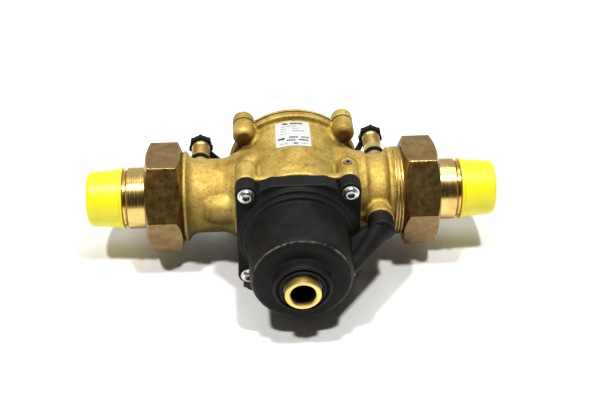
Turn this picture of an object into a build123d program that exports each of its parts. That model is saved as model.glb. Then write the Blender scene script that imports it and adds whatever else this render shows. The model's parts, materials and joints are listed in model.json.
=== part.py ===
"""Reduced-pressure-zone backflow preventer, DN32, with union ends and a side relief valve.

Every piece is drawn in the valve's own frame: the origin is where the pipe axis (X) meets the
relief axis (Y), +X points upstream, -Y points out of the relief outlet and +Z is up as the valve
lies on its side. save() moves each finished piece so that the origin is the centre of the base.
"""
from build123d import *
import os
from math import cos, radians

# ---- pipe run (along X) ----
PIPE_R = 27.7                     # cast pipe outside
BORE_R = 21.0                     # bore that takes the check cartridges
THROAT_R = 18.3                   # opening between a cartridge seat and the chamber
THREAD_R = 32.4                   # G 2 1/4 union thread, drawn as a smooth shank
COLLAR_R = 34.2                   # ridge beside the outlet nut
THREAD_PITCH, THREAD_ROOT_R = 2.309, 31.3
SEAT_X = 52.0                     # far side of each cartridge seat from the chamber axis
SEAT_LENGTH = 6.0
UPSTREAM_END, DOWNSTREAM_END = 93.0, -98.0      # sealing faces of the body

# ---- union ends ----
NUT_LENGTH, NUT_AF = 26.0, 71.0
NUT_OVERLAP = 13.5                # how far the nut runs onto the body thread
NUT_TILT = -7.0                   # turn of the hexagon about the pipe axis, degrees
NECK_R, NECK_LENGTH, TAIL_FLANGE_R = 23.2, 14.8, 31.0
TAIL_BORE_R, TAIL_TIP = 16.5, 50.0              # the tips are measured from the body's end face
PIPE_THREAD_R = 20.7              # R 1 1/4 taper thread at the start of the thread
CAP_TIP, END_CAP_WALL, END_CAP_FILLET = 57.0, 0.9, 3.2
GASKET_T, TAIL_FLANGE_T = 2.0, 4.4

# ---- chamber and relief axis (along Y) ----
CHAMBER_R, CHAMBER_BORE_R = 45.5, 38.0
CHAMBER_FRONT, CHAMBER_BACK = -38.5, 36.2
COVER_R, BODY_FLANGE_T, COVER_RIM_T = 50.3, 5.9, 3.9
COVER_LUG_AT, COVER_LUG_R = 37.6, 8.2
COVER_LUG_T, BODY_LUG_T, LUG_TIP = 9.4, 14.0, 3.5
COVER_SEAL_R, SEAL_DEPTH = 42.0, 2.7
JOINT_BEVEL = 0.7                 # on both rims where the cover meets the body
HOUSING_LUG_AT, HOUSING_LUG_R = 36.6, 8.0
FRONT_OPENING_R = 30.0
PLUG_X, PLUG_Y, PLUG_R = 36.8, -23.6, 3.0
SWELL_Y, SWELL_Z = -19.5, 4.1      # centre line of the swelling on the outlet pipe

# ---- relief housing, along -Y ----
FLANGE_FRONT = -50.5
CAP_R, CAP_FRONT, CAP_CAVITY_R = 36.3, -101.6, 29.5
HUB_R, HUB_FRONT = 20.4, -110.2
TUBE_R, TUBE_BORE_R = 12.4, 8.9
TUBE_FRONT, TUBE_BACK = -115.7, -29.5
RELIEF_TRAVEL = 5.0
DIAPHRAGM_T = 1.5
DIAPHRAGM_Y = -45.5               # front face of the diaphragm's moving middle
DIAPHRAGM_R = 33.4
PLATE_T, PLATE_R = 2.0, 23.0
BACK_PLATE_Y = DIAPHRAGM_Y + DIAPHRAGM_T + PLATE_T
SEAL_FACE_Y = TUBE_BACK + RELIEF_TRAVEL + 0.1
HOLDER_FRONT, HOLDER_BACK = -23.9, -20.6
RELIEF_SPRING_R, RELIEF_WIRE_R = 19.6, 1.2
BUSH_R, TUBE_RING_YS = 14.9, (-101.0, -105.5)

# ---- sense line: boss on the inlet pipe, elbow and arm of the housing ----
SENSE_X, SENSE_BOSS_FACE = 60.5, -36.4
ELBOW_R, ELBOW_BACK, ELBOW_FRONT = 9.7, -36.9, -49.7
ARM_R, ARM_START, ARM_END = 6.5, (60.5, -44.0), (33.6, -91.0)
NIPPLE_R, NIPPLE_RING_YS = 4.9, (-31.0, -39.2)

# ---- check cartridges ----
SEAT_BORE_R, POPPET_R, STEM_R, CAGE_R = 12.0, 14.5, 3.0, 17.9
CHECK_WIRE_R, CHECK_SPRING_R = 0.8, 8.5

# ---- small parts ----
RUNNING = 0.06                    # radial clearance of a sliding or turning fit
FIT = 0.1                         # clearance between pieces that stay put
SCREW_R, SCREW_HEAD_R = 3.0, 6.0
COVER_SCREW_HEAD_R, COVER_SINK = 5.0, 6.0
COCK_LENGTH, COCK_R, COCK_BORE_R = 34.4, 7.2, 3.0
INLET_COCK_EXTRA = 5.5            # the inlet cock has a longer barrel
COCK_SHANK_R, COCK_SHANK, COCK_CHEST_R = 6.5, 8.0, 7.9
BALL_R, BALL_AT, SPINDLE_R = 4.9, 7.2, 2.0
DUST_CAP_R, DUST_CAP_T = 8.7, 3.6
STRAP_RING_AT, STRAP_WIDTH, STRAP_T = 11.5, 4.6, 2.2
COCKS = {                         # x and y of the face that each test cock screws into
    "outlet": (-72.6, 31.4),
    "inlet": (64.6, 33.4),
    "zone": (0.0, 50.0),
}

# origin moves to the middle of the footprint, at the lowest point
LEFT_TIP, RIGHT_TIP = DOWNSTREAM_END - CAP_TIP, UPSTREAM_END + CAP_TIP
BACK_TIP = COCKS["zone"][1] + COCK_LENGTH + DUST_CAP_T
BASE_SHIFT = Vector(-(LEFT_TIP + RIGHT_TIP) / 2, -(TUBE_FRONT + BACK_TIP) / 2, COVER_R)

PIPE_AXIS, RELIEF_AXIS = Axis.X, Axis.Y


def save(piece, name, place=(0, 0, 0)):
    """Label a finished piece, put it in place in the base frame and write it."""
    moved = piece.part.moved(Location(BASE_SHIFT + Vector(place)))
    moved.label = name
    export_step(moved, f"parts/{name}.step")


def facing(y):
    """Plane across the relief axis at y. Its sketches read as seen from -Y, and extrude to -Y."""
    return Plane.XZ.offset(-y)


def across(x):
    """Plane across the pipe axis at x, with its sketch X along +Y and its sketch Y along +Z."""
    return Plane(origin=(x, 0, 0), x_dir=(0, 1, 0), z_dir=(1, 0, 0))


def profile(*points):
    """Closed face through the points, on the XY plane, ready to be turned."""
    with BuildSketch() as outline:
        with BuildLine():
            Polyline(*points, close=True)
        make_face()
    return outline.sketch


def round_section(x, y, radius):
    """Round wire section on the XY plane, ready to be turned."""
    with BuildSketch() as section:
        with Locations((x, y)):
            Circle(radius)
    return section.sketch


def along_x(*stations):
    """Solid-of-revolution profile about the pipe axis from (x, radius) stations."""
    return profile((stations[0][0], 0), *stations, (stations[-1][0], 0))


def tube_x(x0, x1, inner, outer):
    return profile((x0, inner), (x1, inner), (x1, outer), (x0, outer))


def tube_y(y0, y1, inner, outer):
    return profile((inner, y0), (outer, y0), (outer, y1), (inner, y1))


os.makedirs("parts", exist_ok=True)

# ======================================================================= body and cover

with BuildPart() as arrow_relief:
    # cast arrow that points downstream, wrapped on the chamber wall
    with BuildSketch(Plane.XY.offset(CHAMBER_R - 4.0)):
        with Locations((0, -29.0)):
            Polygon((-13.0, 0), (-5.0, 3.4), (-5.0, 1.4), (12.0, 1.4), (12.0, -1.4), (-5.0, -1.4),
                    (-5.0, -3.4), align=None)
    extrude(amount=6.0)
    with Locations(facing(0)):
        Cylinder(CHAMBER_R + 0.7, 100.0, mode=Mode.INTERSECT)
flow_arrow = arrow_relief.part

with BuildPart() as swelling_form:
    revolve(along_x((-71.0, 3.0), (-70.2, 6.0), (-68.8, 8.6), (-66.0, 10.8), (-61.0, 12.3), (-52.0, 12.9),
                    (-40.0, 13.0)), axis=PIPE_AXIS)
swelling = swelling_form.part

with BuildPart() as valve_body:
    # pipe run with its two threaded ends and run-out collars
    revolve(along_x((DOWNSTREAM_END, THREAD_R), (-83.6, THREAD_R), (-82.6, COLLAR_R), (-80.6, COLLAR_R),
                    (-79.4, 31.4), (-77.4, 29.2), (-74.0, PIPE_R), (64.4, PIPE_R), (67.2, 29.2),
                    (68.8, 32.8), (71.2, 32.8), (71.8, THREAD_ROOT_R), (79.0, THREAD_ROOT_R), (79.3, THREAD_R),
                    (UPSTREAM_END, THREAD_R)), axis=PIPE_AXIS)
    for turn in range(3):         # thread turns that stay in view beside the inlet nut
        crest = 73.3 + turn * THREAD_PITCH
        revolve(along_x((crest - 1.1, THREAD_ROOT_R - 0.2), (crest - 0.3, THREAD_R + 0.9),
                        (crest + 0.3, THREAD_R + 0.9), (crest + 1.1, THREAD_ROOT_R - 0.2)), axis=PIPE_AXIS)
    # shoulders where the chamber grows out of the pipe
    revolve(along_x((-54.0, PIPE_R), (-50.0, 29.0), (-43.0, 32.5), (-37.0, 35.5),
                    (37.0, 35.5), (42.0, 32.5), (46.0, 30.8), (52.4, 30.4), (53.6, PIPE_R)),
            axis=PIPE_AXIS)
    # chamber
    with BuildSketch(facing(CHAMBER_BACK)):
        Circle(CHAMBER_R)
    extrude(amount=CHAMBER_BACK - CHAMBER_FRONT)
    # flange under the cover, with a sloping underside
    revolve(profile((0, CHAMBER_BACK), (COVER_R - JOINT_BEVEL, CHAMBER_BACK),
                    (COVER_R, CHAMBER_BACK - JOINT_BEVEL), (COVER_R, CHAMBER_BACK - BODY_FLANGE_T),
                    (CHAMBER_R, CHAMBER_BACK - BODY_FLANGE_T - 1.2), (0, CHAMBER_BACK - 14.0)),
            axis=RELIEF_AXIS)
    # columns for the cover screws, with bevelled ends, and for the housing screws
    for face, length, taper in ((CHAMBER_BACK, BODY_LUG_T, 0), (CHAMBER_BACK - BODY_LUG_T, LUG_TIP, 40)):
        with BuildSketch(facing(face)):
            with GridLocations(2 * COVER_LUG_AT, 2 * COVER_LUG_AT, 2, 2):
                Circle(COVER_LUG_R)
            Rectangle(2 * COVER_LUG_AT, 2 * COVER_LUG_AT)
        extrude(amount=length, taper=taper)
    with BuildSketch(facing(CHAMBER_FRONT + 22.0)):
        with GridLocations(2 * HOUSING_LUG_AT, 2 * HOUSING_LUG_AT, 2, 2):
            Circle(HOUSING_LUG_R)
        Rectangle(2 * HOUSING_LUG_AT, 2 * HOUSING_LUG_AT)
    extrude(amount=22.0)
    # front pad behind the relief housing
    with BuildSketch(facing(CHAMBER_FRONT + 6.0)):
        RectangleRounded(2 * HOUSING_LUG_AT + 14.6, 2 * HOUSING_LUG_AT + 10.0, 12.0)
    extrude(amount=6.0)
    # long swelling on the outlet side, and the sense boss on the inlet side
    with Locations((0, SWELL_Y, SWELL_Z)):
        add(swelling)
    with BuildSketch(facing(-18.0)):
        with Locations((SENSE_X, 0)):
            Circle(10.4)
    extrude(amount=-18.0 - SENSE_BOSS_FACE)
    with BuildSketch(facing(-20.0)):
        with Locations((SENSE_X - 11.0, 0)):
            Rectangle(20.0, 5.0)
    extrude(amount=13.0)
    # bosses for the two test cocks on the pipe
    for cock_x, cock_y in (COCKS["outlet"], COCKS["inlet"]):
        with BuildSketch(facing(cock_y)):
            with Locations((cock_x, 0)):
                Circle(10.0)
        extrude(amount=cock_y - 15.0)
    add(flow_arrow)
    # bores: pipe ends, throats, chamber, front opening
    revolve(along_x((UPSTREAM_END, BORE_R), (SEAT_X - SEAT_LENGTH, BORE_R), (SEAT_X - SEAT_LENGTH, THROAT_R),
                    (SEAT_LENGTH - SEAT_X, THROAT_R), (SEAT_LENGTH - SEAT_X, BORE_R),
                    (DOWNSTREAM_END, BORE_R)), axis=PIPE_AXIS, mode=Mode.SUBTRACT)
    for side in (-1, 1):
        groove = sorted((side * (SEAT_X + 0.2), side * (SEAT_X + 1.9)))
        revolve(tube_x(*groove, BORE_R - 1.0, BORE_R + 1.6), axis=PIPE_AXIS, mode=Mode.SUBTRACT)
    revolve(profile((0, CHAMBER_BACK), (CHAMBER_BORE_R, CHAMBER_BACK), (CHAMBER_BORE_R, -24.0),
                    (FRONT_OPENING_R, -24.0), (FRONT_OPENING_R, CHAMBER_FRONT), (0, CHAMBER_FRONT)),
            axis=RELIEF_AXIS, mode=Mode.SUBTRACT)
    # screw holes, tapped ports, sense port, plug hole
    with Locations(facing(CHAMBER_BACK - 5.0)):
        with GridLocations(2 * COVER_LUG_AT, 2 * COVER_LUG_AT, 2, 2):
            Cylinder(SCREW_R, 10.2, mode=Mode.SUBTRACT)
    with Locations(facing(CHAMBER_FRONT + 6.0)):
        with GridLocations(2 * HOUSING_LUG_AT, 2 * HOUSING_LUG_AT, 2, 2):
            Cylinder(SCREW_R, 12.2, mode=Mode.SUBTRACT)
    for cock_x, cock_y in (COCKS["outlet"], COCKS["inlet"]):
        with Locations(facing(cock_y + 3.0)):
            with Locations((cock_x, 0)):
                Cylinder(COCK_CHEST_R + 1.8, 6.0, mode=Mode.SUBTRACT)
        with Locations(facing(cock_y - 4.0)):
            with Locations((cock_x, 0)):
                Cylinder(COCK_SHANK_R + FIT, COCK_SHANK, mode=Mode.SUBTRACT)
        with Locations(facing(cock_y - 10.0)):
            with Locations((cock_x, 0)):
                Cylinder(COCK_BORE_R, 20.0, mode=Mode.SUBTRACT)
    with Locations(facing(-31.0)):
        with Locations((SENSE_X, 0)):
            Cylinder(NIPPLE_R + FIT, 10.8, mode=Mode.SUBTRACT)
    with Locations(facing(-25.0)):
        with Locations((SENSE_X, 0)):
            Cylinder(3.0, 14.0, mode=Mode.SUBTRACT)
    with Locations((PLUG_X, PLUG_Y, 44.0)):
        Cylinder(PLUG_R, 7.0, mode=Mode.SUBTRACT)
save(valve_body, "valve_body")


with BuildPart() as body_plug:
    with Locations((PLUG_X, PLUG_Y, 42.4)):
        Cylinder(PLUG_R - FIT / 2, 3.8)
    with BuildSketch(Plane((PLUG_X, PLUG_Y, 44.3))):
        RegularPolygon(1.5, 6, major_radius=False)
    extrude(amount=-2.4, mode=Mode.SUBTRACT)
save(body_plug, "body_plug")

with BuildPart() as top_cover:
    # rim, dome and the pad that carries the middle test cock
    revolve(profile((0, CHAMBER_BACK), (COVER_R - JOINT_BEVEL, CHAMBER_BACK),
                    (COVER_R, CHAMBER_BACK + JOINT_BEVEL), (COVER_R, CHAMBER_BACK + COVER_RIM_T - 0.8),
                    (COVER_R - 0.8, CHAMBER_BACK + COVER_RIM_T), (43.0, CHAMBER_BACK + COVER_RIM_T + 0.8),
                    (36.0, 45.5), (24.0, 48.5), (12.0, COCKS["zone"][1]), (0, COCKS["zone"][1])),
            axis=RELIEF_AXIS)
    with BuildSketch(facing(CHAMBER_BACK + COVER_LUG_T)):
        with GridLocations(2 * COVER_LUG_AT, 2 * COVER_LUG_AT, 2, 2):
            Circle(COVER_LUG_R)
    extrude(amount=COVER_LUG_T)
    # hollow under the dome, and the spigot that centres the cover in the body
    revolve(tube_y(CHAMBER_BACK - 4.0, CHAMBER_BACK + 1.0, 31.0, CHAMBER_BORE_R - FIT), axis=RELIEF_AXIS)
    revolve(profile((0, CHAMBER_BACK), (31.0, CHAMBER_BACK), (31.0, CHAMBER_BACK + 4.0),
                    (20.0, CHAMBER_BACK + 7.0), (0, CHAMBER_BACK + 7.0)),
            axis=RELIEF_AXIS, mode=Mode.SUBTRACT)
    revolve(tube_y(CHAMBER_BACK, CHAMBER_BACK + SEAL_DEPTH, COVER_SEAL_R - 1.5, COVER_SEAL_R + 1.5),
            axis=RELIEF_AXIS, mode=Mode.SUBTRACT)
    # sunk screws
    with Locations(facing(CHAMBER_BACK + COVER_LUG_T / 2)):
        with GridLocations(2 * COVER_LUG_AT, 2 * COVER_LUG_AT, 2, 2):
            Cylinder(SCREW_R + 0.3, COVER_LUG_T, mode=Mode.SUBTRACT)
    with Locations(facing(CHAMBER_BACK + COVER_LUG_T - COVER_SINK / 2)):
        with GridLocations(2 * COVER_LUG_AT, 2 * COVER_LUG_AT, 2, 2):
            Cylinder(COVER_SCREW_HEAD_R + 0.3, COVER_SINK, mode=Mode.SUBTRACT)
    # tapped port for the middle test cock
    with Locations(facing(COCKS["zone"][1] - COCK_SHANK / 2)):
        Cylinder(COCK_SHANK_R + FIT, COCK_SHANK, mode=Mode.SUBTRACT)
    with Locations(facing(COCKS["zone"][1] - 9.0)):
        Cylinder(COCK_BORE_R, 12.0, mode=Mode.SUBTRACT)
save(top_cover, "top_cover")

with BuildPart() as cover_o_ring:
    revolve(round_section(COVER_SEAL_R, CHAMBER_BACK + 1.35, 1.3), axis=RELIEF_AXIS)
save(cover_o_ring, "cover_o_ring")

with BuildPart() as cover_screws:
    with BuildSketch(facing(CHAMBER_BACK + COVER_LUG_T - 0.4)):
        with GridLocations(2 * COVER_LUG_AT, 2 * COVER_LUG_AT, 2, 2):
            Circle(COVER_SCREW_HEAD_R)
    extrude(amount=COVER_SINK - 0.4)
    with BuildSketch(facing(CHAMBER_BACK + COVER_LUG_T - COVER_SINK)):
        with GridLocations(2 * COVER_LUG_AT, 2 * COVER_LUG_AT, 2, 2):
            Circle(SCREW_R - FIT / 2)
    extrude(amount=12.0)
    with BuildSketch(facing(CHAMBER_BACK + COVER_LUG_T - 0.4)):
        with GridLocations(2 * COVER_LUG_AT, 2 * COVER_LUG_AT, 2, 2):
            RegularPolygon(2.5, 6, major_radius=False)
    extrude(amount=2.6, mode=Mode.SUBTRACT)
save(cover_screws, "cover_screws")

# ======================================================================= relief housing

with BuildPart() as relief_housing:
    # flange: a square with a round lug at each screw and a raised bar along the top and bottom
    with BuildSketch(facing(CHAMBER_FRONT)):
        Rectangle(2 * HOUSING_LUG_AT + 15.4, 2 * HOUSING_LUG_AT)
        with GridLocations(2 * HOUSING_LUG_AT, 2 * HOUSING_LUG_AT, 2, 2):
            Circle(HOUSING_LUG_R)
        for side in (-1, 1):
            with BuildLine():
                Polyline((-27.5, 0), (-27.5, side * 40.6), (-25.6, side * 41.4), (-18.6, side * 44.4),
                         (18.6, side * 44.4), (25.6, side * 41.4), (27.5, side * 40.6), (27.5, 0), close=True)
            make_face()
    extrude(amount=CHAMBER_FRONT - FLANGE_FRONT)
    # stepped rings, cap and hub
    revolve(profile((0, FLANGE_FRONT), (43.0, FLANGE_FRONT), (42.4, -54.0), (39.6, -54.4), (39.4, -57.4),
                    (CAP_R, -58.0), (CAP_R - 0.5, CAP_FRONT + 5.0), (CAP_R - 1.6, CAP_FRONT + 1.8),
                    (CAP_R - 4.4, CAP_FRONT), (HUB_R, CAP_FRONT), (HUB_R, HUB_FRONT + 1.4),
                    (HUB_R - 1.4, HUB_FRONT), (0, HUB_FRONT)), axis=RELIEF_AXIS)
    # sense elbow, arm to the cap, thin web and small rib
    with BuildSketch(facing(ELBOW_BACK)):
        with Locations((SENSE_X, 0)):
            Circle(ELBOW_R)
    extrude(amount=ELBOW_BACK - ELBOW_FRONT)
    arm = Vector(ARM_END[0] - ARM_START[0], ARM_END[1] - ARM_START[1], 0)
    with BuildSketch(Plane(origin=(*ARM_START, 0), z_dir=arm)):
        Circle(ARM_R)
    extrude(amount=arm.length, taper=2.2)
    with BuildSketch():
        with BuildLine():
            Polyline((SENSE_X + 8.0, ELBOW_FRONT + 4.0), (SENSE_X + 7.0, ELBOW_FRONT - 3.0),
                     (CAP_R - 0.8, CAP_FRONT + 6.0), (CAP_R - 3.0, CAP_FRONT + 20.0),
                     (CAP_R + 2.0, FLANGE_FRONT + 3.0), (SENSE_X - 6.0, ELBOW_BACK - 4.0), close=True)
        make_face()
    extrude(amount=1.5, both=True)
    # pressure cavity, seat for the diaphragm rim and bore for the guide bush
    revolve(profile((0, CHAMBER_FRONT), (DIAPHRAGM_R + FIT, CHAMBER_FRONT),
                    (DIAPHRAGM_R + FIT, CHAMBER_FRONT - DIAPHRAGM_T), (CAP_CAVITY_R, CHAMBER_FRONT - DIAPHRAGM_T),
                    (CAP_CAVITY_R - 0.6, CAP_FRONT + 4.4), (BUSH_R + FIT, CAP_FRONT + 4.4),
                    (BUSH_R + FIT, HUB_FRONT + 1.6), (TUBE_R + 0.6, HUB_FRONT + 1.6),
                    (TUBE_R + 0.6, HUB_FRONT), (0, HUB_FRONT)), axis=RELIEF_AXIS, mode=Mode.SUBTRACT)
    revolve(tube_y(HUB_FRONT, HUB_FRONT + 2.2, 16.2, 18.2), axis=RELIEF_AXIS, mode=Mode.SUBTRACT)
    # screw holes
    with Locations(facing((CHAMBER_FRONT + FLANGE_FRONT) / 2)):
        with GridLocations(2 * HOUSING_LUG_AT, 2 * HOUSING_LUG_AT, 2, 2):
            Cylinder(SCREW_R + 0.3, CHAMBER_FRONT - FLANGE_FRONT + 6.0, mode=Mode.SUBTRACT)
    # sense passage: into the elbow, then along the arm to the cavity
    with Locations(facing(ELBOW_BACK - 3.0)):
        with Locations((SENSE_X, 0)):
            Cylinder(NIPPLE_R + FIT, 6.0, mode=Mode.SUBTRACT)
    with Locations(facing(ELBOW_BACK - 7.0)):
        with Locations((SENSE_X, 0)):
            Cylinder(2.6, 9.0, mode=Mode.SUBTRACT)
    with BuildSketch(Plane(origin=(*ARM_START, 0), z_dir=arm)):
        Circle(2.6)
    extrude(amount=40.0, mode=Mode.SUBTRACT)
    with BuildSketch(across(CAP_CAVITY_R - 2.0)):
        with Locations((-78.0, 0)):
            Circle(2.6)
    extrude(amount=14.0, mode=Mode.SUBTRACT)
save(relief_housing, "relief_housing")

with BuildPart() as housing_screws:
    for x in (-HOUSING_LUG_AT, HOUSING_LUG_AT):
        for z in (-HOUSING_LUG_AT, HOUSING_LUG_AT):
            # flanged button head and shank, turned about the screw's own axis
            screw = profile((0, -3.6), (3.4, -3.6), (4.7, -2.7), (5.2, -1.3), (SCREW_HEAD_R, -1.1),
                            (SCREW_HEAD_R, 0), (SCREW_R - FIT / 2, 0), (SCREW_R - FIT / 2, 21.5), (0, 21.5))
            head = revolve(screw, axis=RELIEF_AXIS, mode=Mode.PRIVATE)
            add(head.moved(Location((x, FLANGE_FRONT, z))))
    with BuildSketch(facing(FLANGE_FRONT - 3.6)):
        with GridLocations(2 * HOUSING_LUG_AT, 2 * HOUSING_LUG_AT, 2, 2):
            RegularPolygon(2.5, 6, major_radius=False, rotation=12)
    extrude(amount=-2.9, mode=Mode.SUBTRACT)
save(housing_screws, "housing_screws")

with BuildPart() as relief_diaphragm:
    revolve(profile((DIAPHRAGM_R, CHAMBER_FRONT), (DIAPHRAGM_R, CHAMBER_FRONT - DIAPHRAGM_T),
                    (CAP_CAVITY_R - 1.0, CHAMBER_FRONT - DIAPHRAGM_T), (PLATE_R + 0.4, DIAPHRAGM_Y),
                    (TUBE_R + 0.2, DIAPHRAGM_Y), (TUBE_R + 0.2, DIAPHRAGM_Y + DIAPHRAGM_T),
                    (PLATE_R + 0.8, DIAPHRAGM_Y + DIAPHRAGM_T), (CAP_CAVITY_R - 0.6, CHAMBER_FRONT)),
            axis=RELIEF_AXIS)
save(relief_diaphragm, "relief_diaphragm")

for name, back in (("diaphragm_front_plate", DIAPHRAGM_Y), ("diaphragm_back_plate", BACK_PLATE_Y)):
    with BuildPart() as plate:
        revolve(tube_y(back - PLATE_T, back, TUBE_R + FIT, PLATE_R), axis=RELIEF_AXIS)
        chamfer(plate.edges().filter_by(GeomType.CIRCLE).group_by(SortBy.RADIUS)[-1], 0.4)
    save(plate, name)

with BuildPart() as diaphragm_nut:
    with BuildSketch(facing(BACK_PLATE_Y + 4.0)):
        RegularPolygon(14.6, 6, major_radius=False)
        Circle(TUBE_R + FIT, mode=Mode.SUBTRACT)
    extrude(amount=4.0)
save(diaphragm_nut, "diaphragm_nut")

with BuildPart() as relief_tube:
    shoulder = DIAPHRAGM_Y - PLATE_T
    revolve(profile((TUBE_BORE_R, TUBE_FRONT + 0.8), (TUBE_BORE_R + 0.8, TUBE_FRONT),
                    (TUBE_R - 0.7, TUBE_FRONT), (TUBE_R, TUBE_FRONT + 0.7), (TUBE_R, shoulder - 2.5),
                    (TUBE_R + 3.2, shoulder - 2.5), (TUBE_R + 3.2, shoulder), (TUBE_R, shoulder),
                    (TUBE_R, TUBE_BACK - 1.6), (TUBE_R - 1.6, TUBE_BACK), (TUBE_R - 2.2, TUBE_BACK),
                    (TUBE_BORE_R, TUBE_BACK - 1.2)), axis=RELIEF_AXIS)
save(relief_tube, "relief_tube")

with BuildPart() as guide_bush:
    bush_back, bush_front = CAP_FRONT + 3.6, HUB_FRONT + 1.8
    revolve(tube_y(bush_front, bush_back, TUBE_R + RUNNING, BUSH_R), axis=RELIEF_AXIS)
    for ring_y in TUBE_RING_YS:
        revolve(tube_y(ring_y - 1.3, ring_y + 1.3, TUBE_R, TUBE_R + 2.1), axis=RELIEF_AXIS,
                mode=Mode.SUBTRACT)
save(guide_bush, "guide_bush")

with BuildPart() as tube_o_rings:
    for ring_y in TUBE_RING_YS:
        revolve(round_section(TUBE_R + 1.02, ring_y, 0.95), axis=RELIEF_AXIS)
save(tube_o_rings, "tube_o_rings")

with BuildPart() as relief_seal_holder:
    # ring against the front wall of the chamber, three legs and the boss that holds the seal
    revolve(tube_y(HOLDER_FRONT, HOLDER_BACK, FRONT_OPENING_R - 4.5, FRONT_OPENING_R + 4.0),
            axis=RELIEF_AXIS)
    with BuildSketch(facing(HOLDER_BACK)):
        Circle(TUBE_R - 0.4)
        with PolarLocations(FRONT_OPENING_R / 2, 3, start_angle=90):
            Rectangle(FRONT_OPENING_R - 2.0, 6.0)
    extrude(amount=HOLDER_BACK - HOLDER_FRONT)
    with BuildSketch(facing(SEAL_FACE_Y + 1.7)):
        Circle(TUBE_R - 1.4)
    extrude(amount=2.2, mode=Mode.SUBTRACT)
save(relief_seal_holder, "relief_seal_holder")

with BuildPart() as relief_seat_seal:
    with BuildSketch(facing(SEAL_FACE_Y + 1.7)):
        Circle(TUBE_R - 1.5)
    extrude(amount=1.7)
save(relief_seat_seal, "relief_seat_seal")

with BuildPart() as relief_spring:
    spring_back = HOLDER_FRONT - RELIEF_WIRE_R - FIT
    height = spring_back - (BACK_PLATE_Y + RELIEF_WIRE_R + FIT)
    with BuildLine():
        path = Helix(pitch=height / 4, height=height, radius=RELIEF_SPRING_R, center=(0, spring_back, 0),
                     direction=(0, -1, 0))
    with BuildSketch(Plane(origin=path @ 0, z_dir=path % 0)):
        Circle(RELIEF_WIRE_R)
    sweep(is_frenet=True)
save(relief_spring, "relief_spring")

with BuildPart() as sense_nipple:
    revolve(tube_y(-41.4, -26.6, 2.2, NIPPLE_R).moved(Location((SENSE_X, 0))),
            axis=Axis((SENSE_X, 0, 0), (0, 1, 0)))
    for ring_y in NIPPLE_RING_YS:
        revolve(tube_y(ring_y - 1.1, ring_y + 1.1, NIPPLE_R - 1.5, NIPPLE_R + 0.1).moved(Location((SENSE_X, 0))),
                axis=Axis((SENSE_X, 0, 0), (0, 1, 0)), mode=Mode.SUBTRACT)
save(sense_nipple, "sense_nipple")

with BuildPart() as sense_o_rings:
    for ring_y in NIPPLE_RING_YS:
        revolve(round_section(SENSE_X + NIPPLE_R - 0.72, ring_y, 0.7), axis=Axis((SENSE_X, 0, 0), (0, 1, 0)))
save(sense_o_rings, "sense_o_rings")

# ======================================================================= check cartridges


def check_cartridge(prefix, start):
    """Spring-loaded check valve whose seat begins at x = start and which opens toward -X."""

    def at(distance):
        return start - distance

    with BuildPart() as seat:
        revolve(profile((at(0), 14.5), (at(1.5), SEAT_BORE_R), (at(SEAT_LENGTH + 1.0), SEAT_BORE_R),
                        (at(SEAT_LENGTH + 1.0), SEAT_BORE_R + 1.2), (at(SEAT_LENGTH), SEAT_BORE_R + 2.2),
                        (at(SEAT_LENGTH), BORE_R - FIT), (at(0), BORE_R - FIT)), axis=PIPE_AXIS)
        revolve(tube_x(at(4.3), at(1.7), BORE_R - 2.1, BORE_R), axis=PIPE_AXIS, mode=Mode.SUBTRACT)
    save(seat, f"{prefix}_check_seat")

    with BuildPart() as seat_ring:
        revolve(round_section(at(3.0), BORE_R - 1.02, 0.98), axis=PIPE_AXIS)
    save(seat_ring, f"{prefix}_check_o_ring")

    with BuildPart() as poppet:
        revolve(along_x((at(8.2), POPPET_R), (at(10.4), POPPET_R), (at(11.4), POPPET_R - 2.0),
                        (at(12.0), 5.0), (at(13.0), STEM_R), (at(35.0), STEM_R)), axis=PIPE_AXIS)
    save(poppet, f"{prefix}_check_poppet")

    with BuildPart() as seal:
        revolve(along_x((at(7.1), POPPET_R - 0.4), (at(8.2), POPPET_R - 0.4)), axis=PIPE_AXIS)
    save(seal, f"{prefix}_check_seal")

    with BuildPart() as cage:
        # front ring, four legs, and a spider whose hub guides the stem
        revolve(tube_x(at(10.5), at(SEAT_LENGTH + 0.1), CAGE_R - 2.2, CAGE_R), axis=PIPE_AXIS)
        with BuildSketch(across(at(28.0))):
            with PolarLocations(CAGE_R - 1.4, 4, start_angle=45):
                Rectangle(2.0, 5.0)
        extrude(amount=18.0)
        with BuildSketch(across(at(30.0))):
            Circle(CAGE_R)
            Circle(CAGE_R - 2.4, mode=Mode.SUBTRACT)
            Rectangle(2 * CAGE_R - 3.0, 4.0, rotation=45)
            Rectangle(2 * CAGE_R - 3.0, 4.0, rotation=-45)
        extrude(amount=2.5)
        with BuildSketch(across(at(30.0))):
            Circle(5.6)
        extrude(amount=7.0)
        with Locations(across(at(26.0))):
            Cylinder(STEM_R + RUNNING, 16.0, mode=Mode.SUBTRACT)
    save(cage, f"{prefix}_check_cage")

    with BuildPart() as spring:
        front, back = at(12.0 + CHECK_WIRE_R), at(27.5 - CHECK_WIRE_R - FIT)
        with BuildLine():
            path = Helix(pitch=(front - back) / 4, height=front - back, radius=CHECK_SPRING_R,
                         center=(front, 0, 0), direction=(-1, 0, 0))
        with BuildSketch(Plane(origin=path @ 0, z_dir=path % 0)):
            Circle(CHECK_WIRE_R)
        sweep(is_frenet=True)
    save(spring, f"{prefix}_check_spring")


for prefix, start in (("inlet", SEAT_X), ("outlet", SEAT_LENGTH - SEAT_X)):
    check_cartridge(prefix, start)

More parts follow.
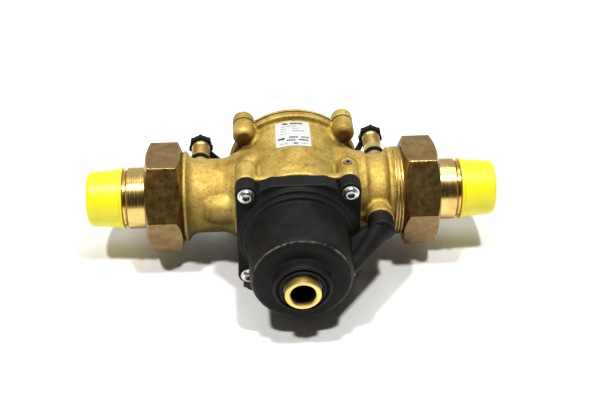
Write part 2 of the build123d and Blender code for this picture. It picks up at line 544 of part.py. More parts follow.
with BuildPart() as check_circlips:
    # one split ring outboard of each seat
    for side in (-1, 1):
        span = sorted((side * (SEAT_X + 0.3), side * (SEAT_X + 1.8)))
        revolve(tube_x(*span, BORE_R - 1.8, BORE_R + 1.4), axis=PIPE_AXIS)
    for side in (-1, 1):
        with Locations((side * (SEAT_X + 1.0), 0, -BORE_R)):
            Box(4.0, 6.0, 6.0, mode=Mode.SUBTRACT)
save(check_circlips, "check_circlips")

# ======================================================================= union ends


def union_end(prefix, face_x, outward):
    """Nut, tailpiece and thread cap at the body end face_x. outward is +1 or -1 along X."""

    def at(distance):
        return face_x + outward * distance

    lip = GASKET_T + TAIL_FLANGE_T + 0.2
    tip = NUT_LENGTH - NUT_OVERLAP
    with BuildPart() as nut:
        with BuildSketch(across(min(at(-NUT_OVERLAP), at(tip)))):
            RegularPolygon(NUT_AF / 2, 6, major_radius=False, rotation=NUT_TILT)
        extrude(amount=NUT_LENGTH)
        corner = NUT_AF / 2 / cos(radians(30))
        revolve(along_x((at(-NUT_OVERLAP), NUT_AF / 2 - 0.6), (at(3.0 - NUT_OVERLAP), corner + 0.6),
                        (at(tip - 3.2), corner + 0.6), (at(tip), NUT_AF / 2 - 1.4)),
                axis=PIPE_AXIS, mode=Mode.INTERSECT)
        revolve(along_x((at(-NUT_OVERLAP), THREAD_R + 1.6), (at(1.6 - NUT_OVERLAP), THREAD_R + FIT),
                        (at(lip), THREAD_R + FIT), (at(lip), NECK_R + 0.3), (at(tip), NECK_R + 0.3)),
                axis=PIPE_AXIS, mode=Mode.SUBTRACT)
    save(nut, f"{prefix}_union_nut")

    with BuildPart() as tailpiece:
        neck_end = tip + NECK_LENGTH
        thread_start = neck_end + 3.1
        revolve(profile((at(GASKET_T), TAIL_BORE_R), (at(GASKET_T), TAIL_FLANGE_R),
                        (at(GASKET_T + TAIL_FLANGE_T), TAIL_FLANGE_R), (at(GASKET_T + TAIL_FLANGE_T), NECK_R),
                        (at(neck_end - 1.0), NECK_R), (at(neck_end), NECK_R - 1.2),
                        (at(neck_end), PIPE_THREAD_R - 0.6), (at(neck_end + 0.9), PIPE_THREAD_R - 0.6),
                        (at(neck_end + 0.9), PIPE_THREAD_R + 0.5), (at(thread_start - 0.6), PIPE_THREAD_R + 0.5),
                        (at(thread_start), PIPE_THREAD_R), (at(TAIL_TIP - 1.2), PIPE_THREAD_R - 0.6),
                        (at(TAIL_TIP), PIPE_THREAD_R - 1.6), (at(TAIL_TIP), TAIL_BORE_R)), axis=PIPE_AXIS)
    save(tailpiece, f"{prefix}_tailpiece")

    with BuildPart() as thread_cap:
        rim = thread_start + FIT
        inner, slope = PIPE_THREAD_R + 0.08, 0.6 / (TAIL_TIP - 1.2 - thread_start)
        outer = inner + END_CAP_WALL
        revolve(along_x((at(rim), outer + 1.5), (at(rim + 1.6), outer + 1.7), (at(rim + 2.4), outer + 0.2),
                        (at(CAP_TIP), outer - 1.4)), axis=PIPE_AXIS)
        ends = thread_cap.edges().filter_by(GeomType.CIRCLE).group_by(Axis.X)
        fillet(ends[-1 if outward > 0 else 0], END_CAP_FILLET)
        inner_tip = inner - slope * (TAIL_TIP + 1.0 - thread_start)
        revolve(along_x((at(rim), inner), (at(TAIL_TIP + 1.0), inner_tip), (at(CAP_TIP - 3.4), inner_tip - 1.2),
                        (at(CAP_TIP - END_CAP_WALL), inner_tip - 4.2)), axis=PIPE_AXIS, mode=Mode.SUBTRACT)
    save(thread_cap, f"{prefix}_thread_cap")


for prefix, face_x, outward in (("inlet", UPSTREAM_END, 1), ("outlet", DOWNSTREAM_END, -1)):
    union_end(prefix, face_x, outward)

with BuildPart() as union_gaskets:
    for x0, x1 in ((UPSTREAM_END, UPSTREAM_END + GASKET_T), (DOWNSTREAM_END - GASKET_T, DOWNSTREAM_END)):
        revolve(tube_x(x0, x1, BORE_R + 0.6, TAIL_FLANGE_R - 0.5), axis=PIPE_AXIS)
save(union_gaskets, "union_gaskets")

# ======================================================================= test cocks


def test_cock(prefix, place, tip, strap_turn, strap_reach):
    """Quarter-turn test cock along +Y, drawn at the origin and put at place."""
    chest = STRAP_RING_AT - 2.0
    with BuildPart() as cock_body:
        revolve(profile((0, -COCK_SHANK), (COCK_SHANK_R, -COCK_SHANK), (COCK_SHANK_R, 0), (COCK_CHEST_R, 0),
                        (COCK_CHEST_R, chest), (COCK_R, chest + 0.4), (COCK_R, tip - 17.0),
                        (COCK_R - 0.6, tip - 16.2), (COCK_R - 0.6, tip - 5.0), (COCK_R, tip - 4.0),
                        (COCK_R, tip - 1.0), (COCK_R - 1.0, tip), (0, tip)), axis=RELIEF_AXIS)
        for turn in range(6):     # hose thread
            crest = tip - 15.2 + 1.8 * turn
            revolve(profile((COCK_R - 1.0, crest - 0.8), (COCK_R, crest - 0.1), (COCK_R, crest + 0.1),
                            (COCK_R - 1.0, crest + 0.8)), axis=RELIEF_AXIS)
        with BuildSketch(facing(4.0)):
            RegularPolygon(8.0, 6, major_radius=False, rotation=30)
        extrude(amount=4.0)
        with Locations(facing(tip / 2)):
            Cylinder(COCK_BORE_R, tip + 2 * COCK_SHANK, mode=Mode.SUBTRACT)
        with Locations(facing((BALL_AT + 6.6 - COCK_SHANK) / 2)):
            Cylinder(BALL_R + 0.3, BALL_AT + 6.6 + COCK_SHANK, mode=Mode.SUBTRACT)
        with Locations((0, BALL_AT, -7.0)):
            Cylinder(SPINDLE_R + RUNNING, 14.0, mode=Mode.SUBTRACT)
    save(cock_body, f"{prefix}_cock_body", place)

    with BuildPart() as ball:
        with Locations((0, BALL_AT, 0)):
            Sphere(BALL_R)
            Cylinder(2.4, 2 * BALL_R + 2, rotation=(0, 90, 0), mode=Mode.SUBTRACT)
        with Locations((0, BALL_AT, -7.2)):
            Cylinder(SPINDLE_R, 6.8)
        with Locations((0, BALL_AT, -9.9)):
            Cylinder(2.7, 2.0)
            Box(6.0, 1.2, 4.0, mode=Mode.SUBTRACT)
    save(ball, f"{prefix}_cock_ball", place)

    with BuildPart() as seats:
        for y0, y1 in ((BALL_AT - 6.4, BALL_AT - 2.6), (BALL_AT + 2.6, BALL_AT + 6.4)):
            revolve(tube_y(y0, y1, COCK_BORE_R, BALL_R + 0.25), axis=RELIEF_AXIS)
        with Locations((0, BALL_AT, 0)):
            Sphere(BALL_R + RUNNING, mode=Mode.SUBTRACT)
    save(seats, f"{prefix}_cock_seats", place)

    with BuildPart() as dust_cap:
        with BuildSketch(facing(tip + DUST_CAP_T)):
            Circle(DUST_CAP_R)
            with PolarLocations(DUST_CAP_R - 0.7, 7, start_angle=90):
                Circle(1.8)
        extrude(amount=DUST_CAP_T + 1.6)
        chamfer(dust_cap.faces().sort_by(Axis.Y)[-1].edges(), 0.5)
        with Locations(facing(tip - 0.6)):
            Cylinder(COCK_R + RUNNING, 2.4, mode=Mode.SUBTRACT)
        with BuildSketch(facing(tip + 0.6)):
            Circle(COCK_BORE_R - 0.2)
        extrude(amount=4.0)
    save(dust_cap, f"{prefix}_dust_cap", place)

    with BuildPart() as strap:
        # ring round the cock, and a band that bows out to the cap
        revolve(tube_y(STRAP_RING_AT - 1.4, STRAP_RING_AT + 1.4, COCK_R + FIT, COCK_R + 1.8), axis=RELIEF_AXIS)
        with BuildSketch():
            with BuildLine():
                Spline((DUST_CAP_R - 0.6, tip - 3.4), (0.75 * strap_reach, tip - 9.0),
                       (strap_reach, STRAP_RING_AT + 8.0), (0.85 * strap_reach, STRAP_RING_AT + 2.0),
                       (COCK_R + 1.0, STRAP_RING_AT))
            trace(line_width=STRAP_T)
        extrude(amount=STRAP_WIDTH / 2, both=True)
        with Locations(facing(tip - 2.8)):
            Cylinder(COCK_R + FIT, 12.0, mode=Mode.SUBTRACT)
    turned = strap.part.moved(Location((0, 0, 0), (0, strap_turn, 0)))
    with BuildPart() as turned_strap:
        add(turned)
    save(turned_strap, f"{prefix}_cap_strap", place)


for prefix, extra, strap_turn, strap_reach in (
    ("outlet", 0, 32.0, 24.0),
    ("inlet", INLET_COCK_EXTRA, 155.0, 15.0),
    ("zone", 0, 90.0, 15.0),
):
    x, y = COCKS[prefix]
    test_cock(prefix, (x, y, 0), COCK_LENGTH + extra, strap_turn, strap_reach)

# ======================================================================= rating label

with BuildPart() as rating_label:
    with BuildSketch(Plane.XY.offset(CHAMBER_R - 4.0)):
        with Locations((-1.0, 12.4)):
            RectangleRounded(26.0, 32.0, 1.6)
    extrude(amount=6.0)
    with Locations(facing(0)):
        Cylinder(CHAMBER_R + 0.3, 100.0, mode=Mode.INTERSECT)
        Cylinder(CHAMBER_R + 0.02, 110.0, mode=Mode.SUBTRACT)
save(rating_label, "rating_label")
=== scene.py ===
"""Looks of the backflow preventer: castings, moulding, thread, flexing pieces, label print and finishes.

Every piece is in metres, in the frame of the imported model. The valve's own centre is where the pipe
axis (X) meets the relief axis (Y): at() turns millimetres from that centre into a place in the frame.
"""
import json
import math

import bmesh
import bpy
import numpy as np
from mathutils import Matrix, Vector


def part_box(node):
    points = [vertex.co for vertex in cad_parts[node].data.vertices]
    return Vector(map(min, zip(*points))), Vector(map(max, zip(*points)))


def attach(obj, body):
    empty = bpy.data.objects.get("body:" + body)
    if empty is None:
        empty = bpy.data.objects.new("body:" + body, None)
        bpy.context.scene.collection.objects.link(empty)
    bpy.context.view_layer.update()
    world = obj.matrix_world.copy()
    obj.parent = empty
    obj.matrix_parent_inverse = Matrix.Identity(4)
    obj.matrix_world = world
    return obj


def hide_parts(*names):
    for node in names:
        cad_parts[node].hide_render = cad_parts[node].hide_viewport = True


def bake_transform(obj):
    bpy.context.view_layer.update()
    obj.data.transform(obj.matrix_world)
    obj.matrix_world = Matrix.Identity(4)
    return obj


MM = 0.001
ROOT = "valve"

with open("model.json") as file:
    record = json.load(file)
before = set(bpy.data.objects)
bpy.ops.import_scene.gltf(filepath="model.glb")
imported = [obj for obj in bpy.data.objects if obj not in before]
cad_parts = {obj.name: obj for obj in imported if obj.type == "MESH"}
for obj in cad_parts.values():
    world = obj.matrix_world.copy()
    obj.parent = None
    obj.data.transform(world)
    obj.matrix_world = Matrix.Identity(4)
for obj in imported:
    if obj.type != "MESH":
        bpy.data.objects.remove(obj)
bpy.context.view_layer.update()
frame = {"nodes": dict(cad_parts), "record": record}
nodes = frame["nodes"]


def middle(node):
    low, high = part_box(node)
    return (low + high) / 2


CENTRE = Vector((middle("relief_tube").x, middle("inlet_tailpiece").y, middle("relief_tube").z))


def at(x, y, z):
    """Frame position of a point given in millimetres from the valve's centre."""
    return CENTRE + Vector((x, y, z)) * MM


COVER_JOINT = at(0, 36.2, 0).y    # plane where the cover meets the body
CAP_CREST = at(0, -99.9, 0).y     # crest round the front of the relief housing, where a painted highlight line runs
DARK_PATCH_REACH = 20                  # millimetres, past the outer edge of every darkened patch: the painted shade under the lugs and the dark patch below the swelling
# Centres, in millimetres from the valve's centre, of the painted shade under the lugs and of the dark patch below
# the swelling.
SHADE_UNDER_LUGS, UNDER_SWELLING = (37.6, 15.5, 38.0), (-52.0, -31.0, -2.0)

# ---------------------------------------------------------------------------- shader tools

class Paint:
    """A node material in the making. Each call adds nodes and returns the socket to link on."""

    def __init__(self, name, **constants):
        self.material = bpy.data.materials.new(name)
        self.material.use_nodes = True
        self.tree = self.material.node_tree
        self.shader = self.tree.nodes["Principled BSDF"]
        self.place = self.add("ShaderNodeTexCoord").outputs["Object"]
        for key, value in constants.items():
            self.shader.inputs[key.replace("_", " ")].default_value = value

    def add(self, kind, **inputs):
        node = self.tree.nodes.new(kind)
        for key, value in inputs.items():
            self.put(node.inputs[key.replace("_", " ")], value)
        return node

    def put(self, socket, value):
        if isinstance(value, bpy.types.NodeSocket):
            self.tree.links.new(value, socket)
        else:
            socket.default_value = value

    def drive(self, name, value):
        self.put(self.shader.inputs[name], value)

    def stretched(self, x, y, z):
        """The object coordinates, scaled along each axis."""
        node = self.add("ShaderNodeMapping", Vector=self.place, Scale=(x, y, z))
        return node.outputs["Vector"]

    def noise(self, scale, detail=4.0, rough=0.55, where=None, warp=0.0):
        node = self.add("ShaderNodeTexNoise", Vector=where or self.place, Scale=scale, Detail=detail,
                        Roughness=rough, Distortion=warp)
        return node.outputs["Fac"]

    def ramp(self, value, *stops):
        """Value to colour, or to grey where a stop is a number. Each stop is (place, colour)."""
        node = self.add("ShaderNodeValToRGB", Fac=value)
        marks = node.color_ramp.elements
        while len(marks) < len(stops):
            marks.new(0.5)
        for mark, (where, colour) in zip(marks, stops):
            mark.position = where
            mark.color = (*colour, 1.0) if isinstance(colour, tuple) else (colour, colour, colour, 1.0)
        return node.outputs["Color"]

    def maths(self, operation, a, b=0.0, add=0.0):
        node = self.tree.nodes.new("ShaderNodeMath")
        node.operation = operation
        for socket, value in zip(node.inputs, (a, b, add)):
            self.put(socket, value)
        return node.outputs["Value"]

    def mix(self, factor, a, b, way="MIX"):
        node = self.tree.nodes.new("ShaderNodeMix")
        node.data_type = "RGBA"
        node.blend_type = way
        self.put(node.inputs["Factor"], factor)
        self.put(node.inputs["A"], a if isinstance(a, bpy.types.NodeSocket) else (*a, 1.0))
        self.put(node.inputs["B"], b if isinstance(b, bpy.types.NodeSocket) else (*b, 1.0))
        return node.outputs["Result"]

    def edges(self, low=0.5, high=0.56):
        """1 on sharp outward edges, 0 elsewhere."""
        node = self.add("ShaderNodeNewGeometry")
        return self.ramp(node.outputs["Pointiness"], (low, 0.0), (high, 1.0))

    def rounded(self, radius):
        """The normal with every corner rounded off, and a mask of where that changed it."""
        bevel = self.add("ShaderNodeBevel", Radius=radius)
        bevel.samples = 6
        turn = self.tree.nodes.new("ShaderNodeVectorMath")
        turn.operation = "DOT_PRODUCT"
        self.put(turn.inputs[0], bevel.outputs["Normal"])
        self.put(turn.inputs[1], self.add("ShaderNodeNewGeometry").outputs["Normal"])
        return bevel.outputs["Normal"], self.ramp(turn.outputs["Value"], (0.86, 1.0), (0.985, 0.0))

    def hollows(self, reach):
        """1 in the open, 0 deep in corners nearer than reach."""
        node = self.add("ShaderNodeAmbientOcclusion", Distance=reach)
        node.samples = 6
        return node.outputs["AO"]

    def underside_shade(self, low, high):
        """Painted shade mask: low on surfaces that face straight down, 1 on those that face up past high."""
        axes = self.add("ShaderNodeSeparateXYZ", Vector=self.add("ShaderNodeNewGeometry").outputs["Normal"])
        upward = self.maths("MULTIPLY_ADD", axes.outputs["Z"], 0.5, add=0.5)
        return self.ramp(upward, (0.25, low), (high, 1.0))

    def near(self, axis, place, core, fade):
        """1 within core millimetres of a plane across an axis, 0 beyond fade millimetres."""
        axes = self.add("ShaderNodeSeparateXYZ", Vector=self.place)
        away = self.maths("ABSOLUTE", self.maths("SUBTRACT", axes.outputs[axis], place))
        return self.ramp(self.maths("DIVIDE", away, MM), (core, 1.0), (fade, 0.0))

    def within(self, place, core, fade, mirrored):
        """1 within core millimetres of a point, 0 beyond fade. Mirrored: also across the centre's three planes."""
        away = self.tree.nodes.new("ShaderNodeVectorMath")
        away.operation = "SUBTRACT"
        self.put(away.inputs[0], self.place)
        self.put(away.inputs[1], tuple(CENTRE))
        if mirrored:
            folded = self.tree.nodes.new("ShaderNodeVectorMath")
            folded.operation = "ABSOLUTE"
            self.put(folded.inputs[0], away.outputs["Vector"])
            away = folded
        reach = self.tree.nodes.new("ShaderNodeVectorMath")
        reach.operation = "DISTANCE"
        self.put(reach.inputs[0], away.outputs["Vector"])
        self.put(reach.inputs[1], tuple(Vector(place) * MM))
        share = self.maths("DIVIDE", reach.outputs["Value"], DARK_PATCH_REACH * MM)
        return self.ramp(share, (core / DARK_PATCH_REACH, 1.0), (fade / DARK_PATCH_REACH, 0.0))

    def bump(self, height, depth, strength=1.0, under=None):
        node = self.add("ShaderNodeBump", Height=height, Distance=depth, Strength=strength)
        if under is not None:
            self.put(node.inputs["Normal"], under)
        return node.outputs["Normal"]


# ---------------------------------------------------------------------------- finishes

def cast_brass():
    """Sand-cast, shot-blasted brass: mottled gold with stains, brown painted shade in the hollows, on downward
    faces and under the lugs, and sharp edges made bright as rubbed metal and as painted highlight.
    """
    p = Paint("cast_brass", Metallic=1.0)
    clouds = p.noise(45, 6, 0.62, None, 0.4)
    colour = p.ramp(clouds, (0.30, (0.39, 0.255, 0.06)), (0.48, (0.585, 0.43, 0.11)),
                    (0.70, (0.78, 0.61, 0.195)))
    speckle = p.ramp(p.noise(650, 3, 0.7), (0.36, (0.50, 0.43, 0.34)), (0.50, (1.0, 1.0, 1.0)))
    colour = p.mix(0.6, colour, speckle, "MULTIPLY")
    stain = p.ramp(p.noise(95, 5, 0.7, p.stretched(1.0, 0.55, 1.0)),
                   (0.30, (0.42, 0.33, 0.24)), (0.42, (1.0, 1.0, 1.0)))
    colour = p.mix(0.5, colour, stain, "MULTIPLY")
    # Painted shade: brown in hollows and corners, from an occlusion mask.
    hollow = p.ramp(p.hollows(0.010), (0.35, (0.28, 0.18, 0.10)), (0.85, (1.0, 1.0, 1.0)))
    colour = p.mix(0.85, colour, hollow, "MULTIPLY")
    # Painted shade: surfaces that face down are darkened.
    colour = p.mix(0.9, colour, p.underside_shade(0.12, 0.80), "MULTIPLY")
    # Sharp edges made bright: partly rubbed metal, partly painted highlight.
    colour = p.mix(p.maths("MULTIPLY", p.edges(0.515, 0.58), 0.6), colour, (0.98, 0.80, 0.36))
    patchy = p.ramp(p.noise(140, 4, 0.7), (0.30, 0.55), (0.60, 1.0))
    # Painted shade under the lugs, broken up by noise.
    shade_under_lugs = p.maths("MULTIPLY", p.within(SHADE_UNDER_LUGS, 5.5, 9.0, True), patchy)
    colour = p.mix(p.maths("MULTIPLY", shade_under_lugs, 0.85), colour, (0.085, 0.045, 0.013))
    under_swelling = p.maths("MULTIPLY", p.within(UNDER_SWELLING, 2.5, 9.0, False), patchy)
    colour = p.mix(p.maths("MULTIPLY", under_swelling, 0.7), colour, (0.12, 0.075, 0.025))
    p.drive("Base Color", p.mix(p.near("Y", COVER_JOINT, 0.6, 1.15), colour, (0.040, 0.022, 0.008)))
    p.drive("Roughness", p.ramp(p.noise(160, 4, 0.6), (0.3, 0.62), (0.7, 0.78)))
    waves = p.bump(p.noise(110, 4, 0.5), 0.0007, 0.6)
    p.drive("Normal", p.bump(p.noise(850, 3, 0.65), 0.00026, 0.85, waves))
    return p.material


def turned_brass(name="turned_brass", axis="x", tone=(0.80, 0.55, 0.19), rough=0.17):
    """Lathe-turned brass with fine tool lines round the axis."""
    p = Paint(name, Metallic=1.0)
    squeeze = (1.0, 0.02, 0.02) if axis == "x" else (0.02, 1.0, 0.02)
    lines = p.noise(2600, 2, 0.6, p.stretched(*squeeze))
    stain = p.ramp(p.noise(60, 4, 0.6), (0.32, (0.62, 0.52, 0.42)), (0.55, (1.0, 1.0, 1.0)))
    # Painted shade: darker in corners, recesses and thread roots, from an occlusion mask.
    hollow = p.ramp(p.hollows(0.005), (0.3, (0.45, 0.33, 0.22)), (0.8, (1.0, 1.0, 1.0)))
    colour = p.mix(0.6, tone, stain, "MULTIPLY")
    p.drive("Base Color", p.mix(0.7, colour, hollow, "MULTIPLY"))
    p.drive("Roughness", p.ramp(lines, (0.35, rough), (0.65, rough + 0.12)))
    p.drive("Normal", p.bump(lines, 0.00006, 0.5))
    return p.material


def nut_bronze():
    """Hot-forged bronze nut: brown skin with a fine grain, bare metal along its edges, and painted shade on its
    downward faces.
    """
    p = Paint("nut_bronze", Metallic=1.0)
    skin = p.ramp(p.noise(85, 6, 0.68, None, 0.6), (0.30, (0.27, 0.150, 0.045)), (0.50, (0.43, 0.26, 0.080)),
                  (0.72, (0.60, 0.40, 0.135)))
    fleck = p.ramp(p.noise(1100, 2, 0.7), (0.36, (0.50, 0.44, 0.38)), (0.52, (1.0, 1.0, 1.0)))
    colour = p.mix(0.6, skin, fleck, "MULTIPLY")
    rubs = p.ramp(p.noise(300, 5, 0.8, None, 1.0), (0.62, 0.0), (0.72, 1.0))
    colour = p.mix(p.maths("MULTIPLY", rubs, 0.35), colour, (0.52, 0.34, 0.10))
    # Painted shade: surfaces that face down are darkened.
    colour = p.mix(0.85, colour, p.underside_shade(0.40, 0.90), "MULTIPLY")
    corner, rubbed = p.rounded(0.0011)
    p.drive("Base Color", p.mix(p.maths("MULTIPLY", rubbed, 0.6), colour, (0.62, 0.42, 0.15)))
    p.drive("Roughness", p.ramp(p.noise(220, 4, 0.6), (0.3, 0.25), (0.7, 0.35)))
    waves = p.bump(p.noise(160, 2), 0.00018, 0.4, corner)
    p.drive("Normal", p.bump(p.noise(1000, 3, 0.6), 0.00016, 0.8, waves))
    return p.material


def tube_brass():
    """The discharge tube: dull turned brass outside, with painted shade that makes the inside of the tube nearly
    black.
    """
    p = Paint("tube_brass", Metallic=1.0)
    lines = p.noise(2200, 2, 0.6, p.stretched(0.02, 1.0, 0.02))
    tone = p.ramp(p.noise(130, 4, 0.6), (0.3, (0.72, 0.50, 0.13)), (0.6, (0.92, 0.70, 0.21)))
    # Painted shade: deep inside the tube the colour is made nearly black.
    bore_shade = p.ramp(p.hollows(0.02), (0.35, (0.012, 0.008, 0.004)), (0.62, (1.0, 1.0, 1.0)))
    p.drive("Base Color", p.mix(1.0, tone, bore_shade, "MULTIPLY"))
    p.drive("Roughness", p.ramp(lines, (0.35, 0.36), (0.65, 0.5)))
    p.drive("Normal", p.bump(lines, 0.00008, 0.6))
    return p.material


def moulded_black(name="moulded_black", grain=1500, tone=0.0065, rough=0.5, crest=None):
    """Glass-filled black plastic: fine grain, faint rub marks and, at crest, painted highlights on the sharp edges
    and a paler painted highlight line along the crest, broken up by noise.
    """
    p = Paint(name)
    p.shader.inputs["Specular IOR Level"].default_value = 0.09
    dust = p.ramp(p.noise(55, 5, 0.6), (0.35, (tone, tone, tone * 1.05)),
                  (0.75, (tone * 2.1, tone * 2.1, tone * 2)))
    rubs = p.ramp(p.noise(130, 3, 0.8, p.stretched(1.0, 0.12, 1.0), 1.5), (0.66, 0.0), (0.74, 1.0))
    colour = p.mix(p.maths("MULTIPLY", rubs, 0.25), dust, (0.03, 0.03, 0.03))
    if crest is not None:
        # Painted highlight on the sharp edges of the housing's rings.
        colour = p.mix(p.maths("MULTIPLY", p.edges(0.515, 0.58), 0.6), colour, (0.075, 0.072, 0.064))
        # Painted highlight line along the crest, broken up by noise.
        highlight_breaks = p.ramp(p.noise(120, 5, 0.8), (0.44, 0.0), (0.58, 1.0))
        crest_highlight = p.maths("MULTIPLY", p.near("Y", crest, 0.18, 0.62), highlight_breaks)
        colour = p.mix(p.maths("MULTIPLY", crest_highlight, 0.9), colour, (0.15, 0.13, 0.10))
    p.drive("Base Color", colour)
    p.drive("Roughness", p.ramp(p.noise(240, 4, 0.6), (0.3, rough - 0.06), (0.7, rough + 0.08)))
    p.drive("Normal", p.bump(p.noise(grain, 2, 0.6), 0.00008, 0.6))
    return p.material


def yellow_polyethylene():
    """Push-on cap: soft, slightly see-through yellow with scuffs."""
    p = Paint("yellow_polyethylene", Subsurface_Weight=0.12, Subsurface_Scale=0.003)
    p.shader.inputs["Subsurface Radius"].default_value = (1.0, 0.8, 0.1)
    tone = p.ramp(p.noise(45, 4, 0.6), (0.3, (0.80, 0.70, 0.006)), (0.7, (0.92, 0.83, 0.012)))
    scuff = p.ramp(p.noise(120, 6, 0.8, None, 0.8), (0.66, 0.0), (0.70, 1.0))
    p.drive("Base Color", p.mix(p.maths("MULTIPLY", scuff, 0.6), tone, (0.36, 0.26, 0.03)))
    p.drive("Roughness", p.ramp(p.noise(300, 3), (0.3, 0.34), (0.7, 0.46)))
    p.drive("Normal", p.bump(p.noise(260, 3), 0.0001, 0.4))
    return p.material


def bright_steel(name="bright_steel", rough=0.22, tone=(0.74, 0.73, 0.71)):
    """Plated steel with light handling marks."""
    p = Paint(name, Metallic=1.0)
    marks = p.noise(900, 3, 0.7, p.stretched(1.0, 0.2, 1.0))
    # Painted shade: darker in tight corners, from an occlusion mask.
    hollow = p.ramp(p.hollows(0.002), (0.3, (0.25, 0.25, 0.25)), (0.85, (1.0, 1.0, 1.0)))
    colour = p.mix(0.5, tone, p.ramp(marks, (0.35, (0.7, 0.7, 0.7)), (0.6, (1.0, 1.0, 1.0))), "MULTIPLY")
    p.drive("Base Color", p.mix(0.8, colour, hollow, "MULTIPLY"))
    p.drive("Roughness", p.ramp(marks, (0.3, rough), (0.7, rough + 0.15)))
    p.drive("Normal", p.bump(marks, 0.00004, 0.5))
    return p.material


def moulded_white():
    p = Paint("moulded_white", Roughness=0.45)
    p.drive("Base Color", p.ramp(p.noise(120, 4), (0.3, (0.72, 0.71, 0.66)), (0.7, (0.82, 0.81, 0.77))))
    p.drive("Normal", p.bump(p.noise(900, 2), 0.00006, 0.5))
    return p.material


def seal_rubber():
    p = Paint("seal_rubber", Roughness=0.62)
    p.drive("Base Color", p.ramp(p.noise(300, 4), (0.3, (0.018, 0.018, 0.018)), (0.7, (0.035, 0.034, 0.033))))
    p.drive("Normal", p.bump(p.noise(1500, 2), 0.00005, 0.5))
    return p.material


def label_film():
    """White label film, a little yellowed and wrinkled."""
    p = Paint("label_film", Roughness=0.38)
    p.drive("Base Color", p.ramp(p.noise(90, 4), (0.3, (0.50, 0.51, 0.52)), (0.7, (0.58, 0.58, 0.58))))
    p.drive("Normal", p.bump(p.noise(140, 2), 0.0002, 0.25))
    return p.material


def label_ink():
    p = Paint("label_ink", Roughness=0.5)
    p.drive("Base Color", p.ramp(p.noise(1500, 2), (0.35, (0.012, 0.012, 0.015)),
                                 (0.75, (0.06, 0.06, 0.065))))
    return p.material


FINISH = {
    "cast_brass": cast_brass(),
    "turned_brass": turned_brass(),
    "turned_brass_y": turned_brass("turned_brass_y", "y", (0.90, 0.66, 0.26), 0.16),
    "thread_brass": turned_brass("thread_brass", "x", (0.50, 0.32, 0.095), 0.3),
    "cock_brass": turned_brass("cock_brass", "y", (0.78, 0.60, 0.23), 0.36),
    "dull_brass": turned_brass("dull_brass", "y", (0.34, 0.30, 0.24), 0.5),
    "bronze_nut": nut_bronze(),
    "steel": bright_steel(),
    "black_plastic": moulded_black(),
    "housing_black": moulded_black("housing_black", crest=CAP_CREST),
    "tube_brass": tube_brass(),
    "soft_black": moulded_black("soft_black", 700, 0.004, 0.4),
    "white_plastic": moulded_white(),
    "yellow_cap": yellow_polyethylene(),
    "rubber": seal_rubber(),
    "label": label_film(),
    "ink": label_ink(),
}


def finish_cad_nodes():
    """Every CAD node gets the finish of its material slot, or of how it was machined."""
    turned_about_y = ("diaphragm_front_plate", "diaphragm_back_plate", "diaphragm_nut", "relief_seal_holder",
                      "sense_nipple")
    for part in frame["record"]["subparts"]:
        name = part["node"]
        look = part["material_slot"]
        if name in turned_about_y:
            look = "turned_brass_y"
        elif name.endswith("cock_body"):
            look = "cock_brass"
        elif name == "relief_tube":
            look = "tube_brass"
        elif name == "body_plug":
            look = "dull_brass"
        mesh = nodes[name].data
        mesh.materials.clear()
        mesh.materials.append(FINISH[look])


# ---------------------------------------------------------------------------- mesh tools

def new_piece(name, mesh, body, slot, look=None, stands_for=()):
    piece = bpy.data.objects.new(name, mesh)
    bpy.context.scene.collection.objects.link(piece)
    mesh.materials.clear()
    mesh.materials.append(FINISH[look or slot])
    if body:
        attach(piece, body)
    if stands_for:
        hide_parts(*stands_for)
    return piece


def remeshed(node, voxel, name):
    """An even quad mesh of a CAD node, with one vertex about every voxel millimetres."""
    probe = bpy.data.objects.new(name + "_probe", nodes[node].data.copy())
    bpy.context.scene.collection.objects.link(probe)
    grid = probe.modifiers.new("grid", "REMESH")
    grid.mode = "VOXEL"
    grid.voxel_size = voxel * MM
    bpy.context.view_layer.update()
    even = bpy.data.meshes.new_from_object(probe.evaluated_get(bpy.context.evaluated_depsgraph_get()))
    even.name = name
    bpy.data.objects.remove(probe)
    return even


def softened(mesh, passes, weight, concave_passes=0):
    """Moves each vertex toward its neighbours, more often where the surface is hollow."""
    count = len(mesh.vertices)
    spots = np.empty(count * 3)
    mesh.vertices.foreach_get("co", spots)
    spots = spots.reshape(-1, 3)
    ends = np.empty(len(mesh.edges) * 2, int)
    mesh.edges.foreach_get("vertices", ends)
    a, b = ends.reshape(-1, 2).T
    neighbours = np.bincount(a, minlength=count) + np.bincount(b, minlength=count)

    def average(values):
        total = np.zeros_like(values)
        np.add.at(total, a, values[b])
        np.add.at(total, b, values[a])
        return total / neighbours[:, None]

    normals = np.empty(count * 3)
    mesh.vertices.foreach_get("normal", normals)
    normals = normals.reshape(-1, 3)
    allowed = weight(spots)[:, None]
    hollow = ((average(spots) - spots) * normals).sum(1, keepdims=True)
    hollow = (hollow > 0.00004).astype(float)
    for _ in range(4):
        hollow = np.maximum(hollow, average(hollow))
    for step in range(passes + concave_passes):
        share = allowed if step < passes else allowed * hollow
        spots += 0.6 * share * (average(spots) - spots)
    mesh.vertices.foreach_set("co", spots.ravel())
    for face in mesh.polygons:
        face.use_smooth = True
    mesh.update()
    return mesh


# ---------------------------------------------------------------------------- castings and moulding

THREAD_PITCH, THREAD_ROOT_R, THREAD_CREST_R = 2.309, 31.6, 33.35
THREAD_STEPS = 144


